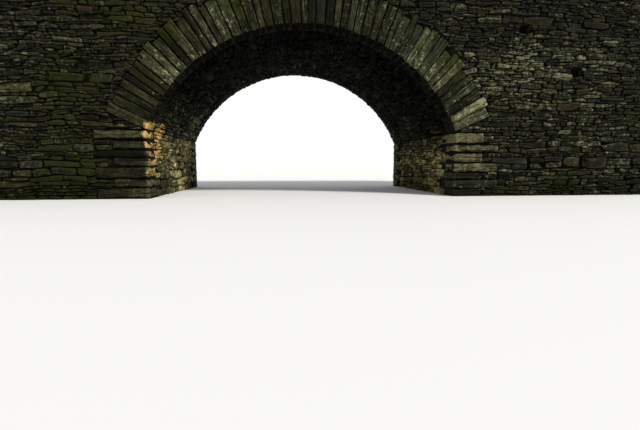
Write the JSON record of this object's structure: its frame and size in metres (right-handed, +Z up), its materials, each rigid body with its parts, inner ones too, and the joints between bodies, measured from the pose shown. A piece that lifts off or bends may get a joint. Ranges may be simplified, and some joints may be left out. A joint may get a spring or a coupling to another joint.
{
  "type": "stone arch bridge",
  "caption": "Segmental slate arch bridge with stepped ring slabs, corner stones, rubble spandrels and wing walls, a humped road and parapets with upright coping stones.",
  "frame": {"origin": "on the level the masonry stands on, under the middle of the arch and midway between the two faces", "axes": "+X along the road to the right bank as the picture shows it, +Y across the bridge from the front face to the back face, +Z up"},
  "size_m": [15, 4.3, 5.55],
  "materials": {
    "ring_slate": "rough split slate, olive grey, lichened",
    "corner_slate": "rough split slate, ochre grey, lichened",
    "coping_slate": "rough slate on edge, mossy",
    "wall_rubble": "coursed rubble slate, dark joints, mossy",
    "abutment_rubble": "small random rubble, damp",
    "barrel_slate": "thin slate slabs on edge, in shade",
    "rubble_core": "rubble and earth fill",
    "road_stone": "packed broken stone"
  },
  "bodies": {
    "root": {"left_abutment": "abutment_rubble", "right_abutment": "abutment_rubble", "front_left_quoins": "corner_slate", "front_right_quoins": "corner_slate", "back_left_quoins": "corner_slate", "back_right_quoins": "corner_slate", "front_arch_ring": "ring_slate", "back_arch_ring": "ring_slate", "barrel_left_haunch": "barrel_slate", "barrel_crown": "barrel_slate", "barrel_right_haunch": "barrel_slate", "front_left_spandrel": "wall_rubble", "front_right_spandrel": "wall_rubble", "back_left_spandrel": "wall_rubble", "back_right_spandrel": "wall_rubble", "front_left_wing_wall": "wall_rubble", "front_right_wing_wall": "wall_rubble", "back_left_wing_wall": "wall_rubble", "back_right_wing_wall": "wall_rubble", "left_haunch_fill": "rubble_core", "right_haunch_fill": "rubble_core", "left_approach_fill": "rubble_core", "right_approach_fill": "rubble_core", "roadway": "road_stone", "front_left_parapet": "wall_rubble", "front_right_parapet": "wall_rubble", "back_left_parapet": "wall_rubble", "back_right_parapet": "wall_rubble", "front_left_coping": "coping_slate", "front_right_coping": "coping_slate", "back_left_coping": "coping_slate", "back_right_coping": "coping_slate"}
  },
  "joints": []
}
